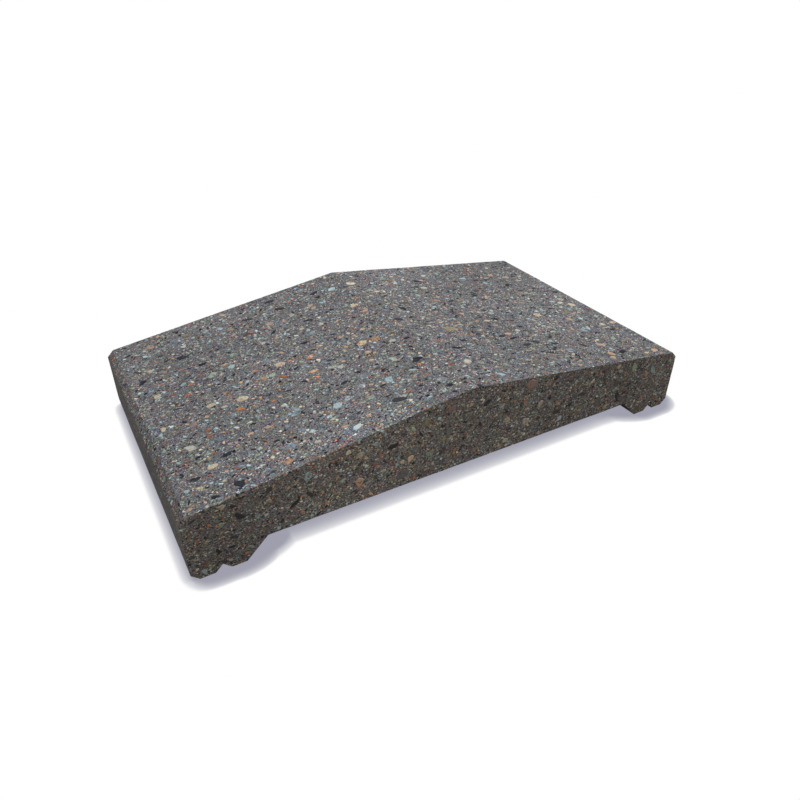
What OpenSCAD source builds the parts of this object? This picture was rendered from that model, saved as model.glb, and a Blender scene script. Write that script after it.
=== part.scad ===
// Fence coping cap of coloured-aggregate concrete: one cast length with a two-way pitched top,
// a shallow recess that drops over the head of the wall, and a drip groove under each eave.
//
// X runs across the wall, Y along it, and Z up. The origin is at the centre of the underside,
// on the plane of the feet.

/* [Cap] */
// Width across the wall, from eave to eave
cap_width = 400; // [240:1:600]
// Length along the wall, from butt end to butt end
cap_length = 225; // [100:1:1000]

/* [Pitched top] */
// Height at which each slope starts, above the feet
eave_height = 50; // [35:0.5:120]
// Rise of the ridge above the foot of each slope
ridge_rise = 26.7; // [8:0.1:80]
// Run of the chamfer along the upper edge of each eave, across the wall
eave_chamfer_run = 5; // [1:0.5:9]
// Drop of the chamfer along the upper edge of each eave
eave_chamfer_drop = 5; // [1:0.5:12]

/* [Feet and drip grooves] */
// Chamfer along the lower outside edge of each outer foot
foot_chamfer = 5; // [1:0.5:9]
// Width of the outer foot, outside the drip groove
outer_foot = 10; // [6:0.5:20]
// Width of the drip groove at its mouth
drip_width = 10; // [4:0.5:16]
// Depth of the drip groove
drip_depth = 5; // [2:0.5:10]
// Width of the inner foot, between the drip groove and the recess
inner_foot = 10; // [6:0.5:20]

/* [Recess over the wall] */
// Depth of the recess, from the feet up to the bed face
recess_depth = 15; // [5:0.5:24]
// Run of each sloping side of the recess
recess_side_run = 15; // [3:0.5:30]

/* [Hidden] */

// How far a cut runs past the face that it opens through
overcut = 1;

half_width = cap_width / 2;
ridge_height = eave_height + ridge_rise;

// Distances from the middle plane of the wall to each line of the underside
foot_edge = half_width - foot_chamfer;
drip_outside = foot_edge - outer_foot;
drip_inside = drip_outside - drip_width;
drip_middle = (drip_outside + drip_inside) / 2;
recess_mouth = drip_inside - inner_foot;
bed_edge = recess_mouth - recess_side_run;

// A closed outline from its right-hand points, the points on the middle plane, and the
// right-hand points again in reverse on the left.
function symmetric(right, middle = []) = concat(
    right,
    middle,
    [for (i = [len(right) - 1 : -1 : 0]) [-right[i][0], right[i][1]]]
);

// The section without its underside: feet, eaves and the two slopes that meet at the ridge.
module roof_outline() {
    polygon(symmetric(
        [
            [foot_edge, 0],
            [half_width, foot_chamfer],
            [half_width, eave_height - eave_chamfer_drop],
            [half_width - eave_chamfer_run, eave_height],
        ],
        [[0, ridge_height]]
    ));
}

// The hollow that drops over the head of the wall, with the bed face at its top.
module wall_recess() {
    flare = overcut * recess_side_run / recess_depth;
    polygon(symmetric([
        [recess_mouth + flare, -overcut],
        [bed_edge, recess_depth],
    ]));
}

// The groove along the right eave that makes rainwater drip before it reaches the wall.
module drip_groove() {
    flare = overcut * drip_width / 2 / drip_depth;
    polygon([
        [drip_inside - flare, -overcut],
        [drip_outside + flare, -overcut],
        [drip_middle, drip_depth],
    ]);
}

module section() {
    difference() {
        roof_outline();
        wall_recess();
        drip_groove();
        mirror([1, 0]) drip_groove();
    }
}

module coping_cap() {
    color([0.46, 0.45, 0.45])
        translate([0, cap_length / 2, 0])
            rotate([90, 0, 0])
                linear_extrude(height = cap_length)
                    section();
}

coping_cap();
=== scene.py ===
"""A coping cap of washed concrete with coloured aggregate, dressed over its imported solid.

The cast body is cut from a copy of the CAD solid, with worn arrises and the slight waves of a cast
face. Stones of five kinds of rock stand a little proud of its washed faces, and the grains too
small to model are in the concrete's own material. Lengths are in metres, and in millimetres
inside the materials.
"""

from __future__ import annotations

import logging
import math
import random
from collections.abc import Mapping
from dataclasses import dataclass, field
from enum import Enum
from typing import Any

import bmesh
import bpy
from mathutils import Matrix, Vector, geometry, noise


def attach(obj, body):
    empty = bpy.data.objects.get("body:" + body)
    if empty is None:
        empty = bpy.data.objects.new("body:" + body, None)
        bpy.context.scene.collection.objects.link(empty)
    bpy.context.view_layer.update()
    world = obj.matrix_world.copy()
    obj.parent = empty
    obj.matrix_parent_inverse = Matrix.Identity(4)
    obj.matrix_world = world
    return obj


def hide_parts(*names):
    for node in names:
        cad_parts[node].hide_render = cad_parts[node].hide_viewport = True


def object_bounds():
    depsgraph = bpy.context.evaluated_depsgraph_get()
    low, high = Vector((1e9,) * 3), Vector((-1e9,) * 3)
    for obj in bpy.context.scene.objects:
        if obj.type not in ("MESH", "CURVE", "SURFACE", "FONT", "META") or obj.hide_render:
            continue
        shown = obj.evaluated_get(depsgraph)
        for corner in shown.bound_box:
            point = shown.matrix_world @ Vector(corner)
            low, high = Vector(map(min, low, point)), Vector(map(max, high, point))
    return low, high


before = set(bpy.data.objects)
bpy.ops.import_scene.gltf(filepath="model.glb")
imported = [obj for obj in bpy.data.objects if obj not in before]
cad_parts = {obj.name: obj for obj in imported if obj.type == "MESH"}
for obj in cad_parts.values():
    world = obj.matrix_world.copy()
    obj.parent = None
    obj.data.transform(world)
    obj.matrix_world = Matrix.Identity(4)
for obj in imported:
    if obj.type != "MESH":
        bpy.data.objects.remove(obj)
cad_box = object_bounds()

log = logging.getLogger("coping_cap")

NODE = "coping_cap"
BODY = "root"
MILLIMETRE = 0.001

# The middle of noise, and what stretches it so that it reaches about 1 to either side of that.
MIDDLE = 0.5
STRETCH = 4.0
# How many finer octaves noise has.
SMOOTH, SOFT, ROUGH, ROUGHEST = 1.0, 2.0, 3.0, 4.0
# How much light a dull mineral face reflects straight back.
SHEEN = 0.03
# Corners closer than this are one, and faces that turn by less than this are one.
WELD = 1e-6
FLAT = math.radians(1.0)
# How far down a face of the underside looks, at least, and how squarely sideways and along the
# cap the faces of its sides and its ends look.
UNDERSIDE = -0.3
SIDE = 0.97
END = 0.9

BMesh = bmesh.types.BMesh
Geom = list[bmesh.types.BMVert | bmesh.types.BMEdge | bmesh.types.BMFace]
Material = bpy.types.Material
Mesh = bpy.types.Mesh
Node = bpy.types.Node
Object = bpy.types.Object
Socket = bpy.types.NodeSocket
Span = tuple[float, float]
Triple = tuple[float, float, float]

WHITE: Triple = (1.0, 1.0, 1.0)


class Tone(Enum):
    """The colours of the rocks and the paste, as linear red, green and blue."""

    SLATE = (0.018, 0.021, 0.032)
    BASALT = (0.045, 0.048, 0.060)
    BLUE_GREY = (0.196, 0.254, 0.312)
    ICE = (0.400, 0.562, 0.632)
    CELADON = (0.330, 0.420, 0.340)
    OLIVE = (0.300, 0.290, 0.170)
    CREAM = (0.590, 0.520, 0.388)
    CHALK = (0.560, 0.560, 0.500)
    PEACH = (0.540, 0.373, 0.258)
    ORANGE = (0.490, 0.192, 0.090)
    BRICK = (0.245, 0.101, 0.073)
    ROSE = (0.349, 0.243, 0.225)
    UMBER = (0.105, 0.078, 0.062)
    MOUSE = (0.160, 0.148, 0.145)
    SMOKE = (0.115, 0.128, 0.155)
    PASTE = (0.215, 0.214, 0.228)
    PASTE_DARK = (0.055, 0.055, 0.062)
    PASTE_SKIN = (0.190, 0.178, 0.170)
    SKIN_DARK = (0.120, 0.133, 0.146)
    SKIN_PALE = (0.208, 0.231, 0.256)
    FILM = (0.192, 0.173, 0.145)
    # Painted shade inside the pinholes, near black.
    PIT_SHADE = (0.010, 0.010, 0.012)


ToneMix = tuple[tuple[Tone, float], ...]


# ---- Shader trees


class Value:
    """A number that varies over a surface: a socket whose maths reads as Python."""

    def __init__(self, socket: Socket) -> None:
        """Wraps a socket."""
        self.socket = socket

    def _math(self, operation: str, first: Any, second: Any = 0.0, clamp: bool = False) -> Value:
        """Adds a Math node.

        Args:
            operation: The node's operation.
            first: The first number or value.
            second: The second number or value.
            clamp: Whether the result is kept from 0 to 1.

        Returns:
            The node's result.
        """
        tree = self.socket.id_data
        node = tree.nodes.new("ShaderNodeMath")
        node.operation = operation
        node.use_clamp = clamp
        connect(tree, first, node.inputs[0])
        connect(tree, second, node.inputs[1])
        return Value(node.outputs[0])

    def __add__(self, other: Any) -> Value:
        """Returns self + other."""
        return self._math("ADD", self, other)

    def __radd__(self, other: Any) -> Value:
        """Returns other + self."""
        return self._math("ADD", other, self)

    def __sub__(self, other: Any) -> Value:
        """Returns self - other."""
        return self._math("SUBTRACT", self, other)

    def __rsub__(self, other: Any) -> Value:
        """Returns other - self."""
        return self._math("SUBTRACT", other, self)

    def __mul__(self, other: Any) -> Value:
        """Returns self * other."""
        return self._math("MULTIPLY", self, other)

    def __rmul__(self, other: Any) -> Value:
        """Returns other * self."""
        return self._math("MULTIPLY", other, self)

    def __truediv__(self, other: Any) -> Value:
        """Returns self / other."""
        return self._math("DIVIDE", self, other)

    def __lt__(self, other: Any) -> Value:
        """Returns 1 where self is less than other, and 0 elsewhere."""
        return self._math("LESS_THAN", self, other)

    def clamped(self) -> Value:
        """Returns self, kept from 0 to 1."""
        return self._math("ADD", self, 0.0, clamp=True)

    def risen(self, start: float, rise: float) -> Value:
        """Returns how far self has risen past a start, from 0 to 1."""
        return ((self - start) * rise).clamped()


def connect(tree: bpy.types.NodeTree, source: Any, target: Socket) -> None:
    """Links a socket to another, or sets its value.

    Args:
        tree: The tree that holds both.
        source: A value, a socket, a tone, a number, a colour or a vector.
        target: The input that takes it.
    """
    source = source.socket if isinstance(source, Value) else source
    source = source.value if isinstance(source, Tone) else source
    if isinstance(source, Socket):
        tree.links.new(source, target)
    elif target.type == "RGBA":
        target.default_value = (*source, 1.0)
    else:
        target.default_value = source


class Surface:
    """A material or a world in the making."""

    def __init__(self, owner: Material | bpy.types.World) -> None:
        """Starts with no nodes.

        Args:
            owner: The new material or world.
        """
        self.owner = owner
        owner.use_nodes = True
        self.tree = owner.node_tree
        self.tree.nodes.clear()

    @classmethod
    def of(cls, name: str) -> Surface:
        """Returns the surface of a new material."""
        return cls(bpy.data.materials.new(name))

    def node(
        self,
        kind: str,
        sockets: Mapping[str | int, Any] | None = None,
        **settings: Any,
    ) -> Node:
        """Adds any node.

        Args:
            kind: The node's type, without its ShaderNode prefix.
            sockets: The values or links of its inputs, by name or by number.
            **settings: Its settings, which are set first. The one named stops fills a ramp.

        Returns:
            The node.
        """
        made = self.tree.nodes.new("ShaderNode" + kind)
        for name, setting in settings.items():
            if name == "stops":
                fill_ramp(made.color_ramp, setting)
            else:
                setattr(made, name, setting)
        for key, source in (sockets or {}).items():
            usable = [s for s in made.inputs if s.enabled]
            named = (s for s in usable if s.name == key)
            connect(self.tree, source, usable[key] if isinstance(key, int) else next(named))
        return made

    def vector(self, operation: str, sockets: Mapping[str | int, Any]) -> Socket:
        """Returns the result of a Vector Math node."""
        return self.node("VectorMath", sockets, operation=operation).outputs[0]

    def own(self, attribute: str) -> Value:
        """Returns an attribute of the piece's own mesh."""
        return Value(self.node("Attribute", attribute_name=attribute).outputs["Fac"])

    def tone(self, mix: ToneMix, at: Any) -> Socket:
        """Returns the tone at a place in a mix, from 0 to 1."""
        return self.node("ValToRGB", {"Fac": at}, stops=mix).outputs["Color"]

    def place(self) -> Socket:
        """Returns the place on the piece, in millimetres."""
        coordinates = self.node("TexCoord").outputs["Object"]
        return self.scaled(coordinates, 1.0 / MILLIMETRE)

    def scaled(self, what: Any, by: Any) -> Socket:
        """Returns a vector or a colour times a number that may pass 1."""
        return self.vector("SCALE", {"Vector": what, "Scale": by})

    def mapped(self, place: Any, **by: Triple) -> Socket:
        """Returns a place that the inputs of a Mapping node move, turn or scale."""
        return self.node("Mapping", {"Vector": place, **by}).outputs[0]

    def blend(self, factor: Any, first: Any, second: Any) -> Socket:
        """Mixes two colours.

        Args:
            factor: How much of the second there is.
            first: The first colour.
            second: The second colour.

        Returns:
            The mixed colour.
        """
        sockets = {"Factor": factor, "A": first, "B": second}
        mixed = self.node("Mix", sockets, data_type="RGBA")
        return next(s for s in mixed.outputs if s.enabled)

    def noise(self, place: Any, wavelength: float, detail: float = SOFT) -> Node:
        """Returns the node of a noise pattern, with waves of a size and finer ones."""
        sockets = {"Vector": place, "Scale": 1.0 / wavelength, "Detail": detail}
        return self.node("TexNoise", sockets)

    def waves(self, place: Any, wavelength: float, detail: float = SOFT) -> Value:
        """Returns a noise pattern as a number from 0 to 1."""
        return Value(self.noise(place, wavelength, detail).outputs[0])

    def clouded(self, colour: Any, place: Any, size: float, dark: float, rise: float) -> Socket:
        """Returns a colour under broad light and dark of a size, from a shade up."""
        return self.scaled(colour, dark + self.waves(place, size, ROUGH) * rise)

    def tinted(self, colour: Any, place: Any, wavelength: float, by: float) -> Socket:
        """Lets a colour vary in red, green and blue, each by itself.

        Args:
            colour: The colour.
            place: The place, in millimetres.
            wavelength: The size of the patches.
            by: How far each of the three varies, as a part of itself.

        Returns:
            The tinted colour.
        """
        pattern = self.noise(place, wavelength).outputs["Color"]
        reach = STRETCH * by
        parts = {0: pattern, 1: (reach,) * 3, 2: (1.0 - MIDDLE * reach,) * 3}
        return self.vector("MULTIPLY", {0: colour, 1: self.vector("MULTIPLY_ADD", parts)})

    def bent(self, place: Any, wavelength: float, by: float) -> Socket:
        """Bends a place, so that what is drawn on it has no regular outline.

        Args:
            place: The place, in millimetres.
            wavelength: The size of the bends.
            by: About how far they reach.

        Returns:
            The bent place.
        """
        push = self.noise(place, wavelength, SMOOTH).outputs["Color"]
        centred = self.vector("SUBTRACT", {0: push, 1: (MIDDLE,) * 3})
        return self.vector("ADD", {0: place, 1: self.scaled(centred, STRETCH * by)})

    def finish(self, colour: Any, roughness: Any, height: Value, depth: float) -> Material:
        """Closes the material with its surface.

        Args:
            colour: The base colour.
            roughness: The roughness.
            height: The fine relief, from 0 to 1.
            depth: How far that relief reaches, in millimetres.

        Returns:
            The material.
        """
        bump = self.node("Bump", {"Height": height, "Distance": depth * MILLIMETRE})
        sockets = {
            "Base Color": colour,
            "Roughness": roughness,
            "Specular IOR Level": SHEEN,
            "Normal": bump.outputs["Normal"],
        }
        surface = self.node("BsdfPrincipled", sockets)
        self.node("OutputMaterial", {"Surface": surface.outputs[0]})
        return self.owner


def fill_ramp(ramp: bpy.types.ColorRamp, mix: ToneMix) -> None:
    """Fills a colour ramp with one flat step for each tone.

    Args:
        ramp: The ramp.
        mix: The tones and the share that each has of the ramp.
    """
    ramp.interpolation = "CONSTANT"
    while len(ramp.elements) > 1:
        ramp.elements.remove(ramp.elements[-1])
    whole = sum(share for _, share in mix)
    place = 0.0
    for index, (tone, share) in enumerate(mix):
        stop = ramp.elements[0] if index == 0 else ramp.elements.new(place)
        stop.position = place
        stop.color = (*tone.value, 1.0)
        place += share / whole


# ---- Finishes


BRIGHT_MIX: ToneMix = (
    (Tone.SLATE, 0.22),
    (Tone.BASALT, 0.13),
    (Tone.MOUSE, 0.08),
    (Tone.SMOKE, 0.08),
    (Tone.BLUE_GREY, 0.13),
    (Tone.ICE, 0.11),
    (Tone.CELADON, 0.05),
    (Tone.OLIVE, 0.02),
    (Tone.CREAM, 0.06),
    (Tone.CHALK, 0.04),
    (Tone.PEACH, 0.06),
    (Tone.ORANGE, 0.035),
    (Tone.BRICK, 0.025),
    (Tone.ROSE, 0.03),
)
MUTED_MIX: ToneMix = (
    (Tone.SLATE, 0.10),
    (Tone.BASALT, 0.16),
    (Tone.SMOKE, 0.18),
    (Tone.UMBER, 0.14),
    (Tone.MOUSE, 0.08),
    (Tone.BLUE_GREY, 0.18),
    (Tone.OLIVE, 0.03),
    (Tone.ROSE, 0.06),
    (Tone.CELADON, 0.07),
)
# The pinholes are drawn near black, as painted shade in them.
PIT_SHADE_MIX: ToneMix = ((Tone.PIT_SHADE, 1.0),)


@dataclass(frozen=True)
class WashAndPaintedShade:
    """A film of cement on the ends, and broad patches of light and dark that are partly uneven
    washing and partly painted sheen and shade.

    Attributes:
        wavelength: The size of the patches, in millimetres.
        shift: Where their pattern starts, in millimetres.
        middle: The pattern's middle, where a colour stays as it is.
        reach: How far their light and dark go, which is painted light and shade in part.
        film: How much the film covers on the ends.
    """

    ON_ENDS = "on_ends"

    wavelength: float = 110.0
    shift: Triple = (-872.0, -516.0, 0.0)
    middle: float = 0.495
    reach: float = 0.65
    film: float = 0.09

    def over(self, surface: Surface, colour: Any) -> Socket:
        """Lays the film and the patches of partly painted light and shade over a colour.

        Args:
            surface: The material that they are in.
            colour: The colour.

        Returns:
            The colour with both over it.
        """
        colour = surface.blend(surface.own(self.ON_ENDS) * self.film, colour, Tone.FILM)
        # Broad patches of partly painted light and shade make the colour lighter or darker.
        flat = surface.mapped(surface.place(), Location=self.shift, Scale=(1.0, 1.0, 0.0))
        patches = surface.waves(flat, self.wavelength, SMOOTH)
        return surface.scaled(colour, 1.0 + (patches - self.middle) * self.reach)


@dataclass(frozen=True)
class Paste:
    """The cement and sand between the grains.

    Attributes:
        sand: The size of the sand, in millimetres.
        finer: How many finer octaves it has.
        lit: Where the sand starts to be light, and how quickly it is.
        light: The tone of its light grains.
        tints: The size and the reach of each change of tint.
    """

    sand: float = 0.8
    finer: float = ROUGH
    lit: Span = (0.38, 4.5)
    light: Tone = Tone.PASTE
    tints: tuple[Span, ...] = ((1.3, 0.16), (9.0, 0.09))

    def drawn(self, surface: Surface, place: Any) -> tuple[Socket, Value]:
        """Draws the paste.

        Args:
            surface: The material that it is drawn in.
            place: The place on the piece, in millimetres.

        Returns:
            Its colour, and its height from 0 to 1.
        """
        fine = surface.waves(place, self.sand, self.finer)
        colour = surface.blend(fine.risen(*self.lit), Tone.PASTE_DARK, self.light)
        for size, reach in self.tints:
            colour = surface.tinted(colour, place, size, reach)
        return colour, fine


@dataclass(frozen=True)
class Grains:
    """One size of the grains that are drawn in the concrete.

    Attributes:
        cell: The room that each grain has, in millimetres.
        share: The part of the cells that hold a grain.
        radius: The smallest and largest grain, in cells.
        bend: How far the outlines are bent, in cells.
        stretch: How long the grains are along X, Y and Z.
        turn: The turn of that stretch, in degrees.
        edge: The width of a grain's edge, in cells.
        shade: The darkest and the lightest grain, as parts of its tone.
        mix: The grains' tones.
    """

    cell: float
    share: float
    radius: Span
    bend: float = 0.22
    stretch: Triple = (1.0, 1.0, 1.0)
    turn: Triple = (0.0, 0.0, 0.0)
    edge: float = 0.08
    shade: Span = (0.64, 1.36)
    mix: ToneMix = BRIGHT_MIX

    def drawn(self, surface: Surface, place: Any, below: Any) -> tuple[Socket, Value]:
        """Draws the grains over what is there.

        Args:
            surface: The material that they are drawn in.
            place: The place on the piece, in millimetres.
            below: The colour that shows between them.

        Returns:
            The new colour, and where the grains are.
        """
        bent = surface.bent(place, self.cell, self.bend * self.cell)
        turn = tuple(math.radians(angle) for angle in self.turn)
        scale = tuple(self.cell * along for along in self.stretch)
        sockets = {"Vector": bent, "Rotation": turn, "Scale": scale}
        turned = surface.node("Mapping", sockets, vector_type="TEXTURE")
        cells = surface.node("TexVoronoi", {"Vector": turned.outputs[0], "Scale": 1.0})
        chance = surface.node("SeparateColor", {"Color": cells.outputs["Color"]})
        held, kind, size = (Value(chance.outputs[i]) for i in range(3))
        low, high = self.radius
        within = low + size * (high - low) - Value(cells.outputs["Distance"])
        mask = (within / self.edge).clamped() * (held < self.share)
        dark, light = self.shade
        shade = dark + held * ((light - dark) / self.share)
        grain = surface.scaled(surface.tone(self.mix, kind), shade)
        return surface.blend(mask, below, grain), mask


@dataclass(frozen=True)
class Concrete:
    """A finish of the cast body.

    Attributes:
        name: The material's name.
        grains: Its grains, the lowest first.
        pits: Its pinholes or bubbles, drawn near black as painted shade in them.
        rough: The roughness at its lowest, and how much smoother it gets.
        relief: The parts of the sand, the grains and the pits in its relief.
        depth: The depth of the relief, in millimetres.
        paste: What is between the grains.
    """

    name: str
    grains: tuple[Grains, ...]
    pits: Grains
    rough: Span
    relief: Triple
    depth: float
    paste: Paste = Paste()


@dataclass(frozen=True)
class WashedConcrete(Concrete):
    """Concrete whose skin was washed off, so that the grains in it show.

    Attributes:
        lie: How its whole pattern is scaled, so that the grains lie across the cap.
        tint: The size and the reach of the last change of tint.
        clouds: The size, the darkest shade and the rise of its broad light and dark.
    """

    name: str = "washed_concrete"
    lie: Triple = (0.77, 1.04, 1.0)
    grains: tuple[Grains, ...] = (
        Grains(7.0, 0.45, (0.12, 0.45), bend=0.3, edge=0.25, mix=MUTED_MIX),
        Grains(3.6, 0.50, (0.15, 0.45), stretch=(1.3, 0.8, 1.0), edge=0.15, mix=MUTED_MIX),
        Grains(0.8, 0.54, (0.25, 0.60)),
        Grains(1.4, 0.50, (0.22, 0.52), stretch=(1.3, 0.9, 0.9), turn=(20.0, 10.0, 35.0)),
        Grains(2.5, 0.46, (0.18, 0.48), stretch=(0.8, 1.4, 0.9), turn=(0.0, 25.0, 20.0)),
    )
    pits: Grains = Grains(1.9, 0.65, (0.05, 0.28), mix=PIT_SHADE_MIX)
    tint: Span = (0.9, 0.14)
    clouds: Triple = (30.0, 0.93, 0.24)
    rough: Span = (0.92, 0.25)
    relief: Triple = (0.35, 0.3, 0.8)
    depth: float = 0.12

    def material(self) -> Material:
        """Draws the grains in their paste, where the skin was washed off unevenly, under broad
        patches of painted light and shade.

        Returns:
            The finished material.
        """
        surface = Surface.of(self.name)
        place = surface.mapped(surface.place(), Scale=self.lie)
        sand, grains, pits = self.relief
        colour, fine = self.paste.drawn(surface, place)
        for layer in self.grains:
            colour, mask = layer.drawn(surface, place, colour)
        height = fine * sand + mask * grains
        colour = surface.tinted(colour, place, *self.tint)
        colour, hollow = self.pits.drawn(surface, place, colour)
        # The film on the ends, and broad patches that are partly uneven washing and partly painted
        # light and shade.
        colour = WashAndPaintedShade().over(surface, surface.clouded(colour, place, *self.clouds))
        rough, smoother = self.rough
        return surface.finish(colour, rough - height * smoother, height - hollow * pits, self.depth)


@dataclass(frozen=True)
class StruckConcrete(Concrete):
    """The concrete of the underside, which keeps its grey skin and shows few grains.

    Attributes:
        clouds: The size, the darkest shade and the rise of its broad light and dark.
    """

    name: str = "struck_concrete"
    grains: tuple[Grains, ...] = (
        Grains(1.0, 0.35, (0.15, 0.45)),
        Grains(2.6, 0.22, (0.15, 0.42)),
    )
    pits: Grains = Grains(5.0, 0.4, (0.04, 0.2), mix=PIT_SHADE_MIX)
    paste: Paste = Paste(1.2, ROUGHEST, lit=(0.3, 2.2), light=Tone.PASTE_SKIN, tints=())
    clouds: Triple = (30.0, 0.8, 0.4)
    rough: Span = (0.95, 0.1)
    relief: Triple = (0.4, 0.2, 1.0)
    depth: float = 0.15

    def material(self) -> Material:
        """Draws a few grains and bubbles in the grey skin.

        Returns:
            The finished material.
        """
        surface = Surface.of(self.name)
        place = surface.place()
        sand, grains, pits = self.relief
        colour, fine = self.paste.drawn(surface, place)
        height = fine * sand
        for layer in self.grains:
            colour, mask = layer.drawn(surface, place, colour)
            height = height + mask * grains
        colour, hollow = self.pits.drawn(surface, place, colour)
        colour = surface.clouded(colour, place, *self.clouds)
        rough, smoother = self.rough
        return surface.finish(colour, rough - height * smoother, height - hollow * pits, self.depth)


@dataclass(frozen=True)
class MouldSkin(Concrete):
    """The long sides, where the skin of the mould was left over most of the grains.

    Attributes:
        marks: The width of the marks of the mould, in millimetres.
        along: How much longer they are than they are wide.
        patches: The size of the patches of the skin, in millimetres.
        parts: The parts of the marks and of the patches in its light and dark.
        lit: Where it starts to be light, and how quickly it is.
        cover: How much the skin covers, and how far that changes from patch to patch.
    """

    name: str = "mould_skin"
    marks: float = 8.0
    along: float = 25.0
    patches: float = 14.0
    parts: Span = (0.75, 0.25)
    lit: Span = (0.4, 5.0)
    cover: Span = (0.40, 1.6)
    grains: tuple[Grains, ...] = (
        Grains(7.0, 0.45, (0.12, 0.45), bend=0.3, edge=0.2, mix=MUTED_MIX),
        Grains(1.4, 0.55, (0.20, 0.50)),
        Grains(3.2, 0.50, (0.18, 0.45), stretch=(1.0, 1.3, 0.9)),
    )
    pits: Grains = Grains(4.0, 0.35, (0.03, 0.16), mix=PIT_SHADE_MIX)
    rough: Span = (0.88, 0.1)
    relief: Triple = (0.15, 0.3, 0.6)
    depth: float = 0.12

    def material(self) -> Material:
        """Draws the skin over the grains, whose part in the relief its marks take.

        Returns:
            The finished material.
        """
        surface = Surface.of(self.name)
        place = surface.place()
        colour, fine = self.paste.drawn(surface, place)
        for layer in self.grains:
            colour, _ = layer.drawn(surface, place, colour)
        long = surface.mapped(place, Scale=(1.0, 1.0 / self.along, 1.0))
        marks = surface.waves(long, self.marks, ROUGHEST)
        patches = surface.waves(place, self.patches, ROUGH)
        light = marks * self.parts[0] + patches * self.parts[1]
        skin = surface.blend(light.risen(*self.lit), Tone.SKIN_DARK, Tone.SKIN_PALE)
        mean, change = self.cover
        cover = (mean + (patches - MIDDLE) * change).clamped()
        colour, hollow = self.pits.drawn(surface, place, surface.blend(cover, colour, skin))
        sand, ridges, pits = self.relief
        rough, smoother = self.rough
        relief = marks * ridges + fine * sand - hollow * pits
        return surface.finish(colour, rough - marks * smoother, relief, self.depth)


# ---- The cast body


def as_mesh(name: str, form: BMesh) -> Mesh:
    """Makes a form a mesh, and frees it.

    Args:
        name: The mesh's name.
        form: The form.

    Returns:
        The mesh.
    """
    mesh = bpy.data.meshes.new(name)
    form.to_mesh(mesh)
    form.free()
    return mesh


def in_scene(name: str, data: bpy.types.ID) -> Object:
    """Adds an object to the scene.

    Args:
        name: The object's name.
        data: Its mesh, light or camera.

    Returns:
        The object.
    """
    made = bpy.data.objects.new(name, data)
    bpy.context.scene.collection.objects.link(made)
    return made


def new_piece(name: str, mesh: Mesh, *materials: Material) -> Object:
    """Adds a piece of the cap that rides on its one body.

    Args:
        name: The piece's name.
        mesh: Its mesh, in the row's frame.
        materials: Its materials, in the order of its slots.

    Returns:
        The piece.
    """
    piece = in_scene(name, mesh)
    for material in materials:
        mesh.materials.append(material)
    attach(piece, BODY)
    return piece


def clean_solid() -> BMesh:
    """Copies the CAD solid, with one face for each flat face of the cap.

    Returns:
        The copy.
    """
    solid = bmesh.new()
    solid.from_mesh(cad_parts[NODE].data)
    bmesh.ops.remove_doubles(solid, verts=solid.verts, dist=WELD)
    bmesh.ops.dissolve_limit(solid, angle_limit=FLAT, verts=solid.verts, edges=solid.edges)
    solid.normal_update()
    return solid


class Skin(Enum):
    """The finishes of the cast body, by the slots that they have on it."""

    WASHED = 0
    STRUCK = 1
    MOULD = 2

    @classmethod
    def of(cls, normal: Vector) -> Skin:
        """Returns the finish of a face, by where it looks."""
        seen = cls.MOULD if abs(normal.x) > SIDE else cls.WASHED
        return cls.STRUCK if normal.z < UNDERSIDE else seen


def at_end(normal: Vector) -> float:
    """Returns 1 for a face at one of the cap's ends, and 0 for others."""
    return float(abs(normal.y) > END)


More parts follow.
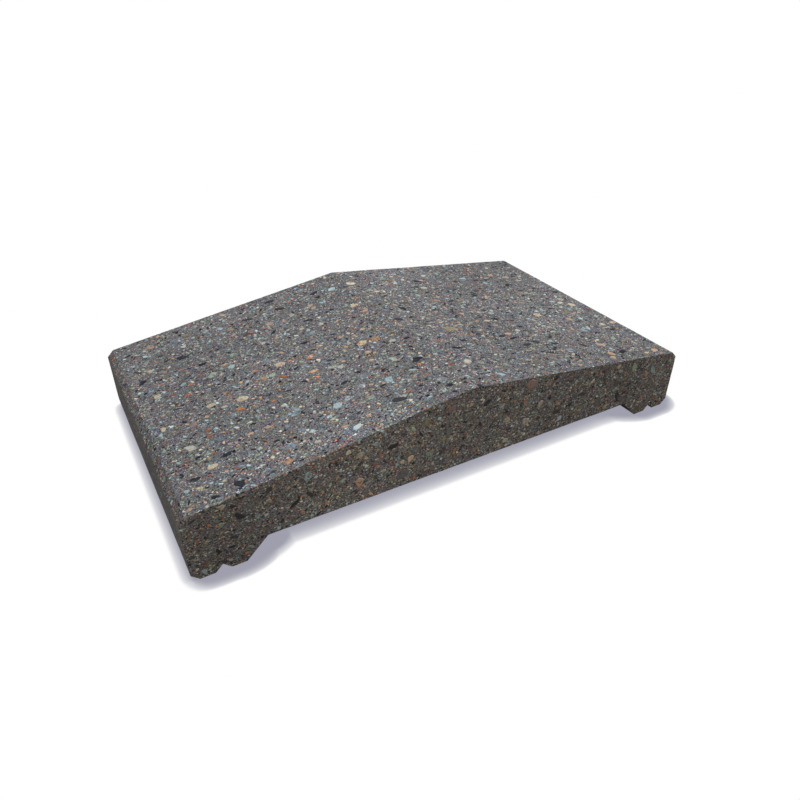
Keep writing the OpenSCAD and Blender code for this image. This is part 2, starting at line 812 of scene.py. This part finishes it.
@dataclass
class CastBody:
    """The cap itself, with the form of its mould and the wear of its edges.

    Attributes:
        arris: How far the wear reaches from each outer edge.
        grid: The size of its faces.
        wave: How far its faces wave, over a wavelength.
        wavelength: The length of those waves.
        octaves: How many finer waves there are in them, each half as long and half as high.
        chip: The depth of the deepest chips along the arrises.
        nicks: The length and the part of each size of chip.
        sound: How much of an arris stays whole.
        keen: How far corners on an arris and in a face look alike.
        crease: The least turn between faces that shows as an edge.
        whole: The least length of an edge that runs along the cap, as a part of the cap's.
        upright: How little a face looks up or down that stands upright.
        apart: The least gap between two cuts, as a part of the grid.
    """

    arris: float = 0.5 * MILLIMETRE
    grid: float = 2.0 * MILLIMETRE
    wave: float = 0.12 * MILLIMETRE
    wavelength: float = 40.0 * MILLIMETRE
    octaves: int = 4
    chip: float = 0.2 * MILLIMETRE
    nicks: tuple[Span, ...] = ((6.0 * MILLIMETRE, 1.0), (2.0 * MILLIMETRE, 0.5))
    sound: float = 0.1
    keen: float = 0.995
    crease: float = math.radians(12.0)
    whole: float = 0.9
    upright: float = 0.1
    apart: float = 0.3

    def build(self) -> Mesh:
        """Makes the body's mesh.

        Returns:
            The mesh.
        """
        body = clean_solid()
        self._break_arrises(body)
        self._divide(body)
        self._weather(body)
        on_ends = body.faces.layers.float.new(WashAndPaintedShade.ON_ENDS)
        for face in body.faces:
            face.smooth = True
            face.material_index = Skin.of(face.normal).value
            face[on_ends] = at_end(face.normal)
        for edge in body.edges:
            edge.smooth = edge.calc_face_angle(0.0) < self.crease
        return as_mesh("cast_body", body)

    def dress(self, mesh: Mesh) -> Object:
        """Makes the mesh a piece in its finishes, in place of the CAD solid.

        Args:
            mesh: The body's mesh.

        Returns:
            The piece.
        """
        finishes = (WashedConcrete(), StruckConcrete(), MouldSkin())
        piece = new_piece("cast_body", mesh, *(finish.material() for finish in finishes))
        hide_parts(NODE)
        return piece

    def _break_arrises(self, body: BMesh) -> None:
        """Rounds the outer edges a little.

        Args:
            body: The clean solid, which is changed.
        """
        bmesh.ops.bevel(
            body,
            geom=[edge for edge in body.edges if edge.is_convex],
            offset=self.arris,
            offset_type="OFFSET",
            affect="EDGES",
            segments=3,
            profile=0.5,
            material=-1,
            clamp_overlap=True,
        )

    def _divide(self, body: BMesh) -> None:
        """Divides the faces finely enough to wave and wear.

        Args:
            body: The body, which is changed.
        """
        low, high = (Vector(corner) for corner in cad_box)
        length = high.y - low.y
        self._slice(body, body.verts[:] + body.edges[:] + body.faces[:], 0, low.x, high.x)
        runs = {edge: abs(edge.verts[0].co.y - edge.verts[1].co.y) for edge in body.edges}
        along = [edge for edge, run in runs.items() if run > self.whole * length]
        cuts = round(length / self.grid) - 1
        bmesh.ops.subdivide_edges(body, edges=along, cuts=cuts, use_grid_fill=True)
        body.normal_update()
        walls = [face for face in body.faces if abs(face.normal.z) < self.upright]
        corners = {vert for face in walls for vert in face.verts}
        borders = {edge for face in walls for edge in face.edges}
        self._slice(body, [*corners, *borders, *walls], 2, low.z, high.z)
        body.normal_update()

    def _slice(self, body: BMesh, geom: Geom, axis: int, low: float, high: float) -> None:
        """Cuts faces at even steps along an axis, but not close beside their own corners.

        Args:
            body: The body, which is changed.
            geom: The corners, edges and faces that are cut.
            axis: The axis along which the steps run.
            low: Where they start.
            high: Where they end.
        """
        normal = Vector(float(axis == i) for i in range(3))
        lines = {round(item.co[axis], 5) for item in geom if isinstance(item, bmesh.types.BMVert)}
        steps = round((high - low) / self.grid)
        for step in range(1, steps):
            at = low + (high - low) * step / steps
            if min(abs(at - line) for line in lines) < self.apart * self.grid:
                continue
            plane = {"plane_co": normal * at, "plane_no": normal}
            geom = bmesh.ops.bisect_plane(body, geom=geom, dist=0.1 * WELD, **plane)["geom"]

    def _weather(self, body: BMesh) -> None:
        """Waves the faces and chips the arrises, but keeps the feet on the floor.

        Args:
            body: The divided body, which is changed.
        """
        for vert in body.verts:
            at = vert.co
            push = self.wave * noise.fractal(at / self.wavelength, 1.0, 2.0, self.octaves)
            if vert.normal.dot(vert.link_faces[0].normal) < self.keen:
                worn = sum(part * noise.noise(at / length) for length, part in self.nicks)
                push -= self.chip * max(0.0, worn - self.sound)
            vert.co = at + vert.normal * push
            vert.co.z = max(vert.co.z, 0.0)


# ---- The stones


class Shape(Enum):
    """How worn stones are: their sides, unevenness, least and most width, and width on top."""

    CHIP = (7, 0.30, (0.30, 0.65), 0.90)
    PEBBLE = (11, 0.13, (0.45, 0.90), 0.80)


@dataclass(frozen=True)
class Rock:
    """One kind of rock, whose stones each have a tone of their own.

    Attributes:
        name: The name of the piece that its stones make.
        stone: The name of its material.
        shape: How worn its stones are.
        share: The part of all stones that are of this rock.
        bulk: How large its stones are beside the others.
        mottle: How far the light and dark vary within a stone.
        roughness: The roughness of its face.
        mix: The tones of its stones.
        clouds: The tones of the patches in them.
        film: Where the patches of paste on it start, from 0 for a whole cover to 1 for none.
        smear: The size of those patches, and how quickly they start.
        haze: How much paste there is even between them.
        patch: The size of its own patches, where they start, and how quickly.
        spot: The size of the spots, and how far they change the roughness.
        depth: The depth of the relief, in millimetres.
    """

    name: str
    stone: str
    shape: Shape
    share: float
    bulk: float
    mottle: float
    roughness: float
    mix: ToneMix
    clouds: ToneMix
    film: float = 0.6
    smear: Span = (3.3, 9.0)
    haze: float = 0.1
    patch: Triple = (2.4, 0.5, 6.0)
    spot: Span = (1.0, 0.2)
    depth: float = 0.08

    def material(self) -> Material:
        """Draws the rock's patches and spots, with paste over them, and broad patches of partly
        painted light and shade over all.

        Returns:
            The finished material.
        """
        surface = Surface.of(self.stone)
        place = surface.place()
        main = surface.tone(self.mix, surface.own(Stones.TONE))
        other = surface.tone(self.clouds, surface.own(Stones.CLOUD))
        size, start, rise = self.patch
        colour = surface.blend(surface.waves(place, size).risen(start, rise), main, other)
        size, rougher = self.spot
        spots = surface.waves(place, size, ROUGH)
        light = surface.own(Stones.SHADE) + (spots - MIDDLE) * (STRETCH * self.mottle)
        colour = surface.scaled(colour, light)
        paste, _ = Paste().drawn(surface, place)
        size, rise = self.smear
        patches = surface.waves(place, size, ROUGH).risen(self.film, rise)
        cover = self.haze + patches * (1.0 - self.haze)
        # The same film and broad patches of partly painted light and shade as on the concrete.
        colour = WashAndPaintedShade().over(surface, surface.blend(cover, colour, paste))
        roughness = self.roughness + (spots - MIDDLE) * rougher
        return surface.finish(colour, roughness, spots, self.depth)


ROCKS = (
    Rock(
        "slate_chips", "slate", Shape.CHIP, share=0.29, bulk=1.4, mottle=0.30, roughness=0.62,
        mix=((Tone.SLATE, 0.8), (Tone.BASALT, 0.2)),
        clouds=((Tone.SLATE, 0.3), (Tone.BASALT, 0.5), (Tone.SMOKE, 0.2)),
        film=0.648,
    ),
    Rock(
        "quartz_pebbles", "quartz", Shape.PEBBLE, share=0.20, bulk=1.1, mottle=0.28, roughness=0.58,
        mix=((Tone.CREAM, 0.35), (Tone.CHALK, 0.30), (Tone.PEACH, 0.35)),
        clouds=((Tone.CHALK, 0.4), (Tone.OLIVE, 0.15), (Tone.ORANGE, 0.2), (Tone.ROSE, 0.25)),
    ),
    Rock(
        "greenstone_pebbles", "greenstone", Shape.PEBBLE, share=0.28, bulk=1.0, mottle=0.28,
        roughness=0.60,
        mix=((Tone.ICE, 0.50), (Tone.BLUE_GREY, 0.25), (Tone.CELADON, 0.25)),
        clouds=((Tone.CHALK, 0.4), (Tone.SMOKE, 0.35), (Tone.CELADON, 0.25)),
    ),
    Rock(
        "greywacke_pebbles", "greywacke", Shape.PEBBLE, share=0.08, bulk=1.3, mottle=0.28,
        roughness=0.70,
        mix=((Tone.OLIVE, 0.15), (Tone.MOUSE, 0.25), (Tone.ROSE, 0.25), (Tone.SMOKE, 0.35)),
        clouds=((Tone.UMBER, 0.4), (Tone.MOUSE, 0.4), (Tone.OLIVE, 0.2)),
        film=0.54,
    ),
    Rock(
        "sandstone_chips", "sandstone", Shape.CHIP, share=0.15, bulk=1.0, mottle=0.30,
        roughness=0.75,
        mix=((Tone.ORANGE, 0.4), (Tone.BRICK, 0.25), (Tone.PEACH, 0.35)),
        clouds=((Tone.UMBER, 0.35), (Tone.CREAM, 0.3), (Tone.BRICK, 0.35)),
    ),
)


@dataclass
class Facing:
    """A flat washed face of the cap, on which stones are laid.

    Attributes:
        corners: Its corners, in turn.
        normal: The way that it looks.
    """

    corners: list[Vector]
    normal: Vector

    def __post_init__(self) -> None:
        """Works out the face's own axes and its triangles."""
        level = Vector((1.0, 0.0, 0.0))
        self.across = (level - self.normal * level.dot(self.normal)).normalized()
        self.along = self.normal.cross(self.across)
        parts = geometry.tessellate_polygon([self.corners])
        self.triangles = [tuple(self.corners[i] for i in part) for part in parts]
        self.areas = [geometry.area_tri(*three) for three in self.triangles]

    @property
    def area(self) -> float:
        """The face's area."""
        return sum(self.areas)

    def point(self, chance: random.Random) -> Vector:
        """Picks a point anywhere on the face.

        Args:
            chance: The random draws.

        Returns:
            The point.
        """
        a, b, c = chance.choices(self.triangles, self.areas)[0]
        u, v = chance.random(), chance.random()
        if u + v > 1.0:
            u, v = 1.0 - u, 1.0 - v
        return a + (b - a) * u + (c - a) * v

    def margin(self, point: Vector) -> float:
        """Measures how far a point is from the face's border.

        Args:
            point: The point.

        Returns:
            The distance.
        """
        nearest = math.inf
        for first, second in zip(self.corners, self.corners[1:] + self.corners[:1]):
            on_line, part = geometry.intersect_point_line(point, first, second)
            on_edge = first.lerp(second, min(max(part, 0.0), 1.0))
            nearest = min(nearest, (point - on_edge).length)
        return nearest

    def seat(self, point: Vector, turn: float) -> Matrix:
        """Returns the placing of a stone with its middle on a point and a turn on the face."""
        axes = Matrix((self.across, self.along, self.normal)).transposed().to_4x4()
        return Matrix.Translation(point) @ axes @ Matrix.Rotation(turn, 4, "Z")


@dataclass
class Stones:
    """The stones that stand a little proud of the washed faces.

    Attributes:
        seed: The start of the random draws.
        per_area: The number of stones on a square metre.
        smallest: The smallest stone.
        largest: The largest stone.
        grading: How fast their number falls with their size.
        least_face: The area of the smallest face that has stones.
        tries: How often a stone is tried in other places before it is left out.
        proud: How far the stones stand out of the concrete, at least and at most.
        gap: The least gap between two stones.
        patterns: How many different stones each rock has.
        lobes: How far the lobes of a stone's outline reach, at least and at most.
        foot: How wide a stone is inside the concrete.
        shade: The darkest and the lightest stone.
        lie: How far long stones are turned from lying across the cap, on its top and its ends.
    """

    TONE = "tone"
    CLOUD = "cloud"
    SHADE = "shade"

    seed: int = 17
    per_area: float = 15000.0
    smallest: float = 2.0 * MILLIMETRE
    largest: float = 8.5 * MILLIMETRE
    grading: float = 1.7
    least_face: float = 0.002
    tries: int = 12
    proud: Span = (0.10 * MILLIMETRE, 0.40 * MILLIMETRE)
    gap: float = 0.1 * MILLIMETRE
    patterns: int = 24
    lobes: Span = (0.03, 0.11)
    foot: float = 0.6
    shade: Span = (0.66, 1.14)
    lie: Span = (math.radians(32.0), math.radians(90.0))
    chance: random.Random = field(init=False)

    def __post_init__(self) -> None:
        """Starts the random draws."""
        self.chance = random.Random(self.seed)

    def build(self) -> list[Object]:
        """Lays the stones.

        Returns:
            One piece for each rock.
        """
        beds = {rock.name: bmesh.new() for rock in ROCKS}
        patterns = {
            rock.name: [self._pattern(rock.shape) for _ in range(self.patterns)] for rock in ROCKS
        }
        for facing in self._facings():
            for point, size, rock in self._spread(facing):
                pattern = self.chance.choice(patterns[rock.name])
                self._lay(beds[rock.name], pattern, facing, point, size)
        for meshes in patterns.values():
            for mesh in meshes:
                bpy.data.meshes.remove(mesh)
        return [self._piece(rock, beds[rock.name]) for rock in ROCKS]

    def _facings(self) -> list[Facing]:
        """Finds the washed faces that are wide enough for stones.

        Returns:
            The faces.
        """
        solid = clean_solid()
        found = [
            Facing([vert.co.copy() for vert in face.verts], face.normal.copy())
            for face in solid.faces
            if Skin.of(face.normal) is Skin.WASHED and face.calc_area() > self.least_face
        ]
        solid.free()
        return found

    def _spread(self, facing: Facing) -> list[tuple[Vector, float, Rock]]:
        """Spreads stones over a face, the largest first, so that none touches another.

        Args:
            facing: The face.

        Returns:
            Each stone's middle, size and rock.
        """
        count = round(self.per_area * facing.area)
        rocks = self.chance.choices(ROCKS, [rock.share for rock in ROCKS], k=count)
        drawn = [(self._size() * rock.bulk, rock) for rock in rocks]
        laid: list[tuple[Vector, float, Rock]] = []
        for size, rock in sorted(drawn, key=lambda one: -one[0]):
            for _ in range(self.tries):
                point = facing.point(self.chance)
                room = 0.5 * size + self.gap
                if facing.margin(point) < room:
                    continue
                if all((point - other).length > room + 0.5 * its for other, its, _ in laid):
                    laid.append((point, size, rock))
                    break
        return laid

    def _size(self) -> float:
        """Draws the size of one stone, by the grading.

        Returns:
            The size.
        """
        fewest = (self.smallest / self.largest) ** self.grading
        share = 1.0 - self.chance.random() * (1.0 - fewest)
        return self.smallest * share ** (-1.0 / self.grading)

    def _pattern(self, shape: Shape) -> Mesh:
        """Makes one stone, a unit across, with its rim on the plane of the face.

        Args:
            shape: How worn it is.

        Returns:
            The stone's mesh.
        """
        stone = bmesh.new()
        draw = self.chance.uniform
        sides, uneven, widths, crown = shape.value
        width = draw(*widths)
        turn = Matrix.Rotation(draw(0.0, math.tau), 4, "Z")
        bmesh.ops.create_circle(stone, cap_ends=True, radius=0.5, segments=sides, matrix=turn)
        lobes = [(order, draw(0.0, math.tau), draw(*self.lobes)) for order in (2, 3, 4)]
        for vert in stone.verts:
            angle = math.atan2(vert.co.y, vert.co.x)
            bulge = sum(reach * math.cos(order * angle + start) for order, start, reach in lobes)
            shift = Matrix.Rotation(draw(-uneven, uneven), 3, "Z")
            bmesh.ops.rotate(stone, verts=[vert], matrix=shift)
            swell = Vector((1.0, width, 1.0)) * (1.0 + bulge - draw(0.0, uneven))
            bmesh.ops.scale(stone, verts=[vert], vec=swell)
        self._grow(stone, stone.faces[:], 1.0, crown)
        rim = [edge for edge in stone.edges if edge.is_boundary]
        bottom = bmesh.ops.contextual_create(stone, geom=rim)["faces"]
        self._grow(stone, bottom, -1.0, self.foot)
        bmesh.ops.recalc_face_normals(stone, faces=stone.faces[:])
        mesh = as_mesh("stone", stone)
        for name in (self.TONE, self.CLOUD, self.SHADE, WashAndPaintedShade.ON_ENDS):
            mesh.attributes.new(name, "FLOAT", "POINT")
        return mesh

    @staticmethod
    def _grow(stone: BMesh, cap: Geom, height: float, spread: float) -> None:
        """Extrudes a stone's flat outline up or down.

        Args:
            stone: The stone.
            cap: The face that moves.
            height: How far it moves.
            spread: How wide it is there.
        """
        grown = bmesh.ops.extrude_face_region(stone, geom=cap)["geom"]
        moved = [item for item in grown if isinstance(item, bmesh.types.BMVert)]
        bmesh.ops.scale(stone, verts=moved, vec=(spread, spread, 1.0))
        bmesh.ops.translate(stone, verts=moved, vec=(0.0, 0.0, height))
        gone = [face for face in cap if face.is_valid]
        bmesh.ops.delete(stone, geom=gone, context="FACES_ONLY")

    def _lay(self, bed: BMesh, pattern: Mesh, facing: Facing, point: Vector, size: float) -> None:
        """Lays one stone.

        Args:
            bed: The stones of its rock so far.
            pattern: The stone, a unit across.
            facing: The face that it lies on.
            point: Its middle.
            size: Its size.
        """
        proud = self.chance.uniform(*self.proud)
        on_ends = at_end(facing.normal)
        turn = self.chance.gauss(0.0, self.lie[int(on_ends)])
        stone = pattern.copy()
        values = {
            self.TONE: self.chance.random(),
            self.CLOUD: self.chance.random(),
            self.SHADE: self.chance.uniform(*self.shade),
            WashAndPaintedShade.ON_ENDS: on_ends,
        }
        for name, value in values.items():
            stone.attributes[name].data.foreach_set("value", [value] * len(stone.vertices))
        scale = Matrix.Diagonal((size, size, proud, 1.0))
        stone.transform(facing.seat(point, turn) @ scale)
        bed.from_mesh(stone)
        bpy.data.meshes.remove(stone)

    @staticmethod
    def _piece(rock: Rock, bed: BMesh) -> Object:
        """Returns the stones of a rock as a piece."""
        return new_piece(rock.name, as_mesh(rock.name, bed), rock.material())


# ---- The studio


@dataclass
class Studio:
    """The floor, the light and the camera, none of which belong to the cap.

    Attributes:
        sky: The light of the sky.
        lamp: The light of the lamp, on a face that looks at it.
        lamp_spread: How wide the lamp is, in degrees.
        lamp_tilt: How far it stands from straight above, in degrees.
        floor: Half the width of the floor.
        gap: How far the floor lies below the feet.
        bounce: The floor's own colour, as it lights the cap.
        shadow: The colour of the cap's shadow.
        reach: How far beside the cap its shadow goes, and how quickly it fades.
        recess: The same for the shadow below its recess.
        hem: Where the shadow starts to end, and how much faster it fades there.
        rays: How many rays look for the cap from each place on the floor.
        lean: The way that they lean.
        azimuth: The camera's turn about the cap, in degrees.
        elevation: Its height over the floor, in degrees.
        distance: Its distance.
        target: The point that it looks at.
        lens: Its focal length, in millimetres.
    """

    sky: Triple = (0.430, 0.385, 0.335)
    lamp: Triple = (0.707, 0.733, 0.752)
    lamp_spread: float = 50.0
    lamp_tilt: float = 23.0
    floor: float = 20.0
    gap: float = 0.0001
    bounce: Triple = (0.285, 0.240, 0.190)
    shadow: Triple = (0.345, 0.345, 0.415)
    reach: Span = (0.0144, 0.5)
    recess: Span = (0.0233, 0.3)
    hem: Span = (0.55, 1.6)
    rays: int = 96
    lean: Triple = (-0.5, 0.3, 1.0)
    azimuth: float = -29.43
    elevation: float = 33.18
    distance: float = 0.5807
    target: Triple = (0.0080, 0.0010, 0.0)
    lens: float = 30.77

    def build(self) -> None:
        """Adds everything."""
        self._floor()
        self._world()
        self._lamp()
        self._camera()
        bpy.context.scene.view_settings.view_transform = "Standard"

    def _floor(self) -> None:
        """Adds a floor that looks white and keeps the cap's shadow."""
        bed = bmesh.new()
        below = Matrix.Translation((0.0, 0.0, -self.gap))
        bmesh.ops.create_grid(bed, x_segments=2, y_segments=2, size=self.floor, matrix=below)
        floor = in_scene("floor", as_mesh("floor", bed))
        surface = Surface.of("pale_floor")
        plain = surface.node("BsdfDiffuse", {"Color": self.bounce})
        beside = self._clear(surface, *self.reach)
        open_sky = beside * beside * self._clear(surface, *self.recess)
        start, faster = self.hem
        open_sky = (open_sky + (open_sky - start).clamped() * faster).clamped()
        tint = surface.blend(open_sky, self.shadow, WHITE)
        shaded = surface.node("Emission", {"Color": tint})
        white = surface.node("Emission", {"Color": WHITE})
        lit = self._either(surface, self._near(surface), white, shaded)
        shown = self._either(surface, self._seen(surface), plain, lit)
        surface.node("OutputMaterial", {"Surface": shown.outputs[0]})
        floor.data.materials.append(surface.owner)

    @staticmethod
    def _either(surface: Surface, factor: Value, first: Node, second: Node) -> Node:
        """Returns the first of two shaders where the factor is 0, and the second where it is 1."""
        sockets = {0: factor, 1: first.outputs[0], 2: second.outputs[0]}
        return surface.node("MixShader", sockets)

    @staticmethod
    def _seen(surface: Surface) -> Value:
        """Finds where the camera, a mirror or glass looks at the floor or the sky.

        Args:
            surface: The material or world.

        Returns:
            1 there, and 0 for the light that falls on the cap.
        """
        path = surface.node("LightPath").outputs
        rays = ("Is Camera Ray", "Is Glossy Ray", "Is Transmission Ray")
        return sum((Value(path[ray]) for ray in rays), start=0.0).clamped()

    def _near(self, surface: Surface) -> Value:
        """Finds the floor around the cap.

        Args:
            surface: The floor's material.

        Returns:
            1 as far as the shadow reaches, and 0 elsewhere.
        """
        place = surface.node("SeparateXYZ", {0: surface.node("TexCoord").outputs["Object"]})
        near = 1.0
        for low, high, here in zip(*cad_box, place.outputs[:2]):
            from_middle = Value(here) - (low + high) / 2
            room = (high - low) / 2 + self.recess[0]
            near = (from_middle * from_middle < room * room) * near
        return near

    def _clear(self, surface: Surface, reach: float, span: float) -> Value:
        """Finds how little the cap covers the floor.

        Args:
            surface: The floor's material.
            reach: How far away the cap still counts.
            span: How much of the sky has to clear, over half of it, for open floor.

        Returns:
            0 where half of the sky or more is covered, to 1 on open floor.
        """
        lean = surface.node("CombineXYZ", dict(zip("XYZ", Vector(self.lean).normalized())))
        sockets = {"Distance": reach, "Normal": lean.outputs[0]}
        near = surface.node("AmbientOcclusion", sockets, samples=self.rays)
        return ((Value(near.outputs["AO"]) - 0.5) / span).clamped()

    def _world(self) -> None:
        """Adds a soft sky that looks white."""
        bpy.context.scene.world = bpy.data.worlds.new("sky")
        surface = Surface(bpy.context.scene.world)
        soft = surface.node("Background", {"Color": self.sky})
        white = surface.node("Background", {"Color": WHITE})
        shown = self._either(surface, self._seen(surface), soft, white)
        surface.node("OutputWorld", {"Surface": shown.outputs[0]})

    def _lamp(self) -> None:
        """Adds a wide, soft light from above."""
        lamp = bpy.data.lights.new("overhead", "SUN")
        lamp.energy = math.pi
        lamp.color = self.lamp
        lamp.angle = math.radians(self.lamp_spread)
        hung = in_scene("overhead", lamp)
        hung.rotation_euler = (0.0, math.radians(self.lamp_tilt), 0.0)

    def _camera(self) -> None:
        """Adds the camera."""
        turn, rise = math.radians(self.azimuth), math.radians(self.elevation)
        back = Vector(
            (math.sin(turn) * math.cos(rise), -math.cos(turn) * math.cos(rise), math.sin(rise))
        )
        lens = bpy.data.cameras.new("camera")
        lens.lens = self.lens
        camera = in_scene("camera", lens)
        camera.location = Vector(self.target) + back * self.distance
        camera.rotation_mode = "QUATERNION"
        camera.rotation_quaternion = (-back).to_track_quat("-Z", "Y")
        bpy.context.scene.camera = camera


def main() -> None:
    """Builds the cap and its studio."""
    logging.basicConfig(level=logging.INFO, format="%(message)s")
    body = CastBody()
    pieces = [body.dress(body.build()), *Stones().build()]
    for piece in pieces:
        log.info("%s: %d faces", piece.name, len(piece.data.polygons))
    Studio().build()
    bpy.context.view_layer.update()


if __name__ == "__main__":
    main()
